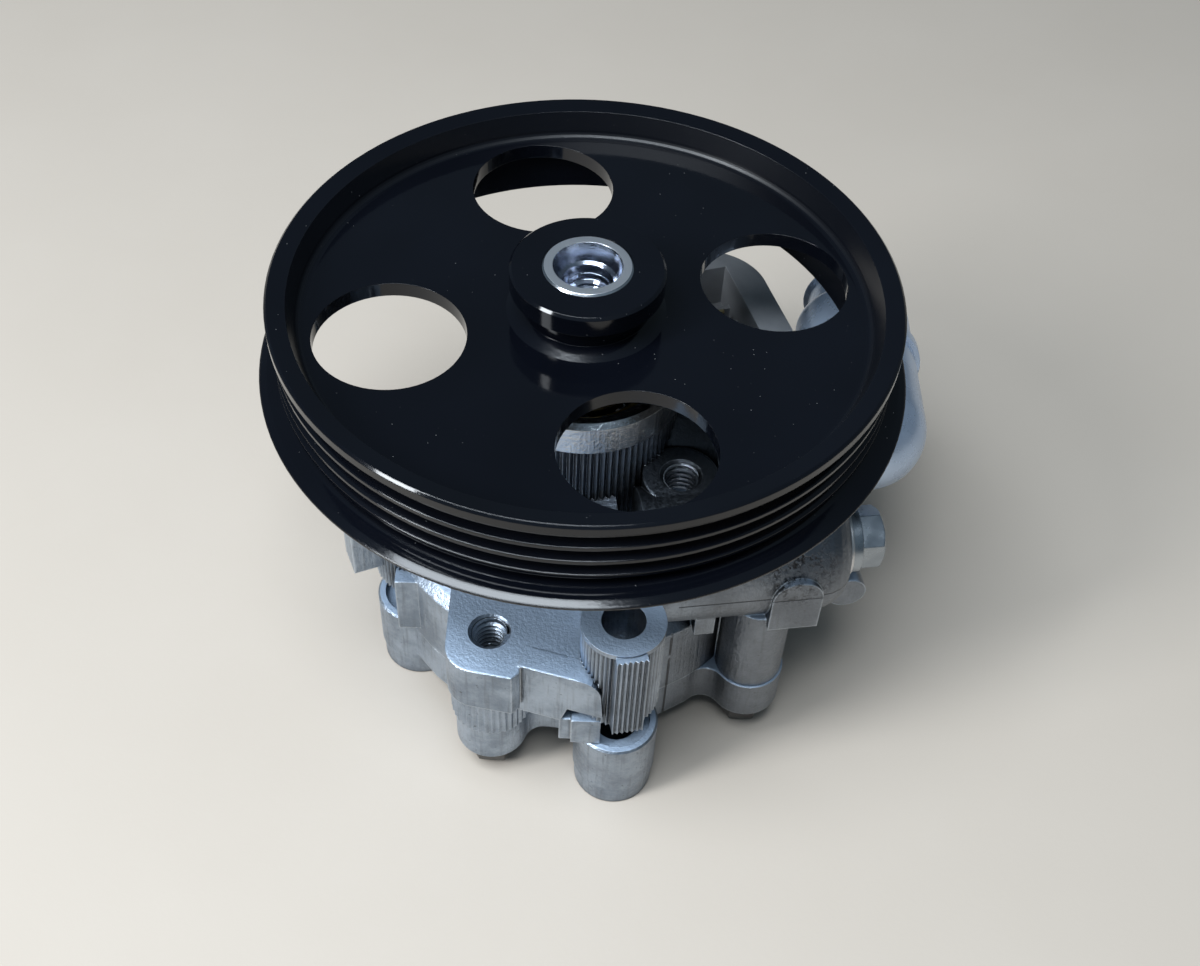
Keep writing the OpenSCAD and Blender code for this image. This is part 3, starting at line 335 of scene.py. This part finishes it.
def cast_metal():
    """Die-cast aluminium: grain, draw marks, painted light on the tops, rubbed edges with a painted
    highlight, pores, mould lines, a turned nose.
    """
    g = Graph("cast_aluminium", metallic=1.0)
    z = g.axis("Z")
    upward = g.facing_up()
    grain = g.noise(0.7 * MM, 3.0, 0.6)
    rounding = casting_rounding(g)
    highlight_edge = g.edges(rounding)
    streaks = casting_streaks(g, upward)
    # Upward faces low on the casting, which get painted light
    lit_tops = g.math("MULTIPLY", g.ramp(upward, 0.75, 0.95), g.ramp(z, *LIT_TOPS_Z))
    pores = casting_pores(g)
    lines = mould_lines(g)
    turned = g.math("MULTIPLY", g.ramp(z, *NOSE_Z), g.ramp(g.radius(), *NOSE_R))

    skin = g.mix(g.ramp(streaks, 0.5, 0.72, 0.0, 0.35), casting_skin(g), SKIN_STREAK)
    # Painted light on the tops
    skin = g.mix(g.math("MULTIPLY", lit_tops, 0.65), skin, SKIN_TOP_LIGHT)
    # Painted highlight along the edges, which also stands for rubbing
    skin = g.mix(g.math("MULTIPLY", highlight_edge, 0.8), skin, SKIN_RUBBED_HIGHLIGHT)
    skin = g.mix(pores, skin, PORE_BLACK)
    skin = g.mix(g.math("MULTIPLY", lines, 0.85), skin, MOULD_LINE)
    skin = g.mix(turned, skin, g.mix(g.rings(0.18 * MM, 1.0), NOSE_DARK, NOSE_LIGHT))

    roughness = g.ramp(grain, 0.3, 0.7, 0.34, 0.48)
    for mask, value in ((lit_tops, 0.70), (highlight_edge, 0.34), (turned, 0.24)):
        roughness = g.blend(mask, roughness, value)

    height = g.math("ADD", grain, g.math("MULTIPLY", g.noise(3 * MM, 2.0), 0.6))
    height = g.math("ADD", height, streaks)
    height = g.math("SUBTRACT", height, g.math("MULTIPLY", pores, 2.0))
    height = g.math("SUBTRACT", height, lines)
    return g.finish(skin, roughness, g.bump(height, 0.18 * MM, 0.8, g.bevel(rounding)))


def turned_steel():
    """Bright steel with a lathe tool's fine rings, painted shade and a bluish painted reflection in the mouth
    of its bore, and matt on its end face.
    """
    g = Graph("turned_steel", metallic=1.0)
    rings = g.rings(0.22 * MM, 2.0)
    smear = g.noise(6 * MM, 3.0)
    # Painted shade with a bluish painted reflection in the mouth of the bore
    shaded_mouth = g.ramp(g.radius(), *SHADED_MOUTH_R, 0.0, 0.85)
    colour = g.mix(shaded_mouth, g.mix(smear, STEEL_DARK, STEEL_LIGHT), g.mix(rings, BORE_SHADE_DARK, BORE_SHADE_LIGHT))
    face = g.ramp(g.facing_up(), 0.93, 0.98)
    roughness = g.blend(face, g.ramp(smear, 0.3, 0.7, 0.14, 0.24), 0.45)
    return g.finish(colour, roughness, g.bump(rings, 0.01 * MM, 0.5, g.bevel(0.2 * MM)))


def plain_metal(name, dark, light, rough, depth=0.02 * MM, metallic=1.0):
    """Metal with a fine grain, a slow change of tone, and rubbed edges with a painted highlight."""
    g = Graph(name, metallic=metallic)
    tone = g.noise(8 * MM, 4.0)
    # Lighter edges: rubbing, with a painted highlight
    rubbed_highlight = tuple(min(1.0, c * 1.3) for c in light[:3]) + (1,)
    colour = g.mix(g.ramp(tone, 0.3, 0.7), dark, light)
    colour = g.mix(g.math("MULTIPLY", g.edges(0.4 * MM), 0.5), colour, rubbed_highlight)
    normal = g.bump(g.noise(1 * MM, 3.0), depth, 0.6, g.bevel(0.4 * MM))
    return g.finish(colour, g.ramp(tone, 0.3, 0.7, *rough), normal)


def moulded(name, dark, light, rough):
    """Plastic or rubber with a fine moulded grain, and pale edges that are a painted highlight."""
    g = Graph(name)
    tone = g.noise(10 * MM, 3.0)
    # Pale edges: a painted highlight
    pale_highlight = tuple(c * 2.2 for c in light[:3]) + (1,)
    colour = g.mix(g.ramp(tone, 0.3, 0.7), dark, light)
    colour = g.mix(g.math("MULTIPLY", g.edges(0.4 * MM), 0.4), colour, pale_highlight)
    normal = g.bump(g.noise(0.6 * MM, 2.0), 0.03 * MM, 0.6, g.bevel(0.4 * MM))
    return g.finish(colour, g.ramp(tone, 0.3, 0.7, *rough), normal)


def screw_thread(name, hole):
    """Helical ridge on the wall of a tapped hole, which swells from nothing at both ends."""
    place = mount(hole["mount"])
    centre = Vector(place["pos_m"][:2])
    wall_r = place["dims"]["r_mm"] * MM
    half = hole["pitch"] * 0.5
    last = hole["turns"] * THREAD_STEPS
    run_out = THREAD_STEPS * THREAD_RUN_OUT
    bm = bmesh.new()
    rows = []
    for i in range(last + 1):
        angle = 2 * math.pi * i / THREAD_STEPS
        z = hole["top"] - hole["pitch"] * i / THREAD_STEPS
        crest = -0.85 * half * min(1.0, i / run_out, (last - i) / run_out)
        profile = ((THREAD_SUNK, 0.98 * half), (crest, 0.12 * half),
                   (crest, -0.12 * half), (THREAD_SUNK, -0.98 * half))
        rows.append([])
        for outward, upward in profile:
            r = wall_r + outward
            at = (centre.x + r * math.cos(angle), centre.y + r * math.sin(angle), z + upward)
            rows[-1].append(bm.verts.new(at))
    for a, b in zip(rows, rows[1:]):
        for k in range(4):
            bm.faces.new((a[k], a[(k + 1) % 4], b[(k + 1) % 4], b[k]))
    bm.faces.new(rows[0][::-1])
    bm.faces.new(rows[-1])
    bmesh.ops.recalc_face_normals(bm, faces=bm.faces)
    mesh = bpy.data.meshes.new(name)
    bm.to_mesh(mesh)
    bm.free()
    piece = bpy.data.objects.new(name, mesh)
    bpy.context.scene.collection.objects.link(piece)
    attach(piece, hole["body"])
    return piece


def compressible_spring(node):
    """Copy of a CAD spring, which takes the place of the hidden CAD node."""
    spring = bpy.data.objects.new(node + "_coil", frame["nodes"][node].data.copy())
    bpy.context.scene.collection.objects.link(spring)
    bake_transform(spring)
    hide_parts(node)


def set_camera():
    level = math.cos(CAMERA_TILT)
    forward = Vector((math.sin(CAMERA_PAN) * level, math.cos(CAMERA_PAN) * level, -math.sin(CAMERA_TILT)))
    right = forward.cross(Vector((0, 0, 1))).normalized()
    up = right.cross(forward)
    x_axis = right * math.cos(CAMERA_ROLL) + up * math.sin(CAMERA_ROLL)
    y_axis = up * math.cos(CAMERA_ROLL) - right * math.sin(CAMERA_ROLL)
    camera = bpy.data.objects.new("camera", bpy.data.cameras.new("camera"))
    camera.data.lens = CAMERA_LENS
    camera.data.sensor_width = SENSOR_WIDTH
    camera.data.clip_start = NEAREST_SEEN
    turn = Matrix((x_axis, y_axis, -forward)).transposed()
    camera.matrix_world = Matrix.Translation(CAMERA_AT) @ turn.to_4x4()
    bpy.context.scene.collection.objects.link(camera)
    bpy.context.scene.camera = camera


def area_light(name, shape, at, aim, size, power, colour, yaw=0.0):
    light = bpy.data.lights.new(name, "AREA")
    light.shape = shape
    light.size, light.size_y = size
    light.energy = power
    light.color = colour
    lamp = bpy.data.objects.new(name, light)
    lamp.location = at
    lamp.rotation_euler = (Vector(aim) - Vector(at)).to_track_quat("-Z", "Y").to_euler()
    lamp.rotation_euler.rotate_axis("Z", yaw)
    bpy.context.scene.collection.objects.link(lamp)


def lay_floor(height):
    """Pale paper with a faint grain."""
    mesh = bpy.data.meshes.new("floor")
    corners = [(x * FLOOR_REACH, y * FLOOR_REACH, height) for x, y in ((-1, -1), (1, -1), (1, 1), (-1, 1))]
    mesh.from_pydata(corners, [], [(0, 1, 2, 3)])
    floor = bpy.data.objects.new("floor", mesh)
    bpy.context.scene.collection.objects.link(floor)
    g = Graph("paper_floor")
    colour = g.mix(g.noise(50 * MM, 3.0), FLOOR_DARK, FLOOR_LIGHT)
    mesh.materials.append(g.finish(colour, 0.7, g.bump(g.noise(1.2 * MM, 3.0), 0.05 * MM, 0.3)))


def light_room():
    """A dim room that is lighter up and in front."""
    world = bpy.data.worlds.new("room")
    bpy.context.scene.world = world
    world.use_nodes = True
    tree = world.node_tree
    backdrop = tree.nodes["Background"]
    backdrop.inputs["Color"].default_value = ROOM_COLOUR
    place = tree.nodes.new("ShaderNodeTexCoord")
    lean = tree.nodes.new("ShaderNodeVectorMath")
    lean.operation = "DOT_PRODUCT"
    lean.inputs[1].default_value = ROOM_LEAN
    ramp = tree.nodes.new("ShaderNodeMapRange")
    ramp.interpolation_type = "SMOOTHSTEP"
    for socket, value in ROOM_STRENGTH.items():
        ramp.inputs[socket].default_value = value
    tree.links.new(place.outputs["Generated"], lean.inputs[0])
    tree.links.new(lean.outputs["Value"], ramp.inputs["Value"])
    tree.links.new(ramp.outputs["Result"], backdrop.inputs["Strength"])


def set_stage(floor_z):
    """Pale floor, a soft light overhead, a window at the left and a dim room."""
    lay_floor(floor_z)
    area_light("overhead", "RECTANGLE", at=(-0.216, -0.271, 0.85), aim=(-0.216, -0.270, 0), size=(0.66, 0.38),
               power=13.0, colour=(0.84, 0.92, 1.0), yaw=-0.3)
    area_light("left_window", "ELLIPSE", at=(-0.72, -0.42, 0.60), aim=(0, 0, -0.04), size=(0.24, 0.5),
               power=9.5, colour=(0.90, 0.95, 1.0))
    light_room()


def dress(materials):
    """Gives each CAD node the material of its slot."""
    for part in frame["record"]["subparts"]:
        obj = frame["nodes"][part["node"]]
        material = materials[part["material_slot"]]
        for slot in obj.material_slots:
            slot.material = material


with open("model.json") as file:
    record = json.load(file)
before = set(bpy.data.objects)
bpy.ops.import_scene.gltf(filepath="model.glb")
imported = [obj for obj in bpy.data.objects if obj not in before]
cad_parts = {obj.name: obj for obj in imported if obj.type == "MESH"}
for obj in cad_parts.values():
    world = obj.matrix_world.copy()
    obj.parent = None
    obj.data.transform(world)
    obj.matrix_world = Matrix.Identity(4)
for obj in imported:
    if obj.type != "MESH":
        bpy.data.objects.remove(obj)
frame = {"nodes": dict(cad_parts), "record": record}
cad_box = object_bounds()
bpy.context.scene.view_settings.view_transform = "Standard"
set_camera()
set_stage(cad_box[0][2])

materials = {
    "black_coat": gloss_black(),
    "shaft_steel": turned_steel(),
    "cast_aluminium": cast_metal(),
    "sintered_steel": plain_metal("sintered_steel", grey(0.2), grey(0.32), (0.35, 0.5)),
    "spring_steel": plain_metal("spring_steel", grey(0.22), grey(0.35), (0.25, 0.4)),
    "bearing_steel": plain_metal("bearing_steel", grey(0.6), grey(0.75), (0.1, 0.2)),
    "cage_brass": plain_metal("cage_brass", (0.45, 0.32, 0.12, 1), (0.6, 0.45, 0.2, 1), (0.25, 0.4)),
    "seal_rubber": moulded("seal_rubber", grey(0.01), grey(0.02), (0.5, 0.7)),
    "bush_bronze": plain_metal("bush_bronze", (0.4, 0.27, 0.14, 1), (0.52, 0.37, 0.2, 1), (0.3, 0.45)),
    "bolt_zinc": plain_metal("bolt_zinc", grey(0.07), grey(0.15), (0.3, 0.5)),
    "plug_zinc": plain_metal("plug_zinc", (0.23, 0.26, 0.29, 1), (0.35, 0.385, 0.42, 1), (0.2, 0.32),
                             depth=0.006 * MM),
    "washer_aluminium": plain_metal("washer_aluminium", grey(0.5), grey(0.62), (0.25, 0.4)),
    # The elbow's blue tint is a painted reflection of the sky
    "satin_aluminium": plain_metal("satin_aluminium", (0.40, 0.49, 0.63, 1), (0.48, 0.58, 0.73, 1),
                                   (0.24, 0.32), depth=0.008 * MM, metallic=0.6),
    "dark_plastic": moulded("dark_plastic", grey(0.21, 0.022), grey(0.28, 0.028), (0.36, 0.5)),
    "terminal_brass": plain_metal("terminal_brass", (0.5, 0.4, 0.2, 1), (0.62, 0.5, 0.27, 1), (0.25, 0.4)),
}
dress(materials)

for name, hole in THREADS.items():
    slot = hole["slot"]
    ridge = screw_thread(name, hole)
    ridge.data.materials.append(materials[slot])

compressible_spring("flow_valve_spring")
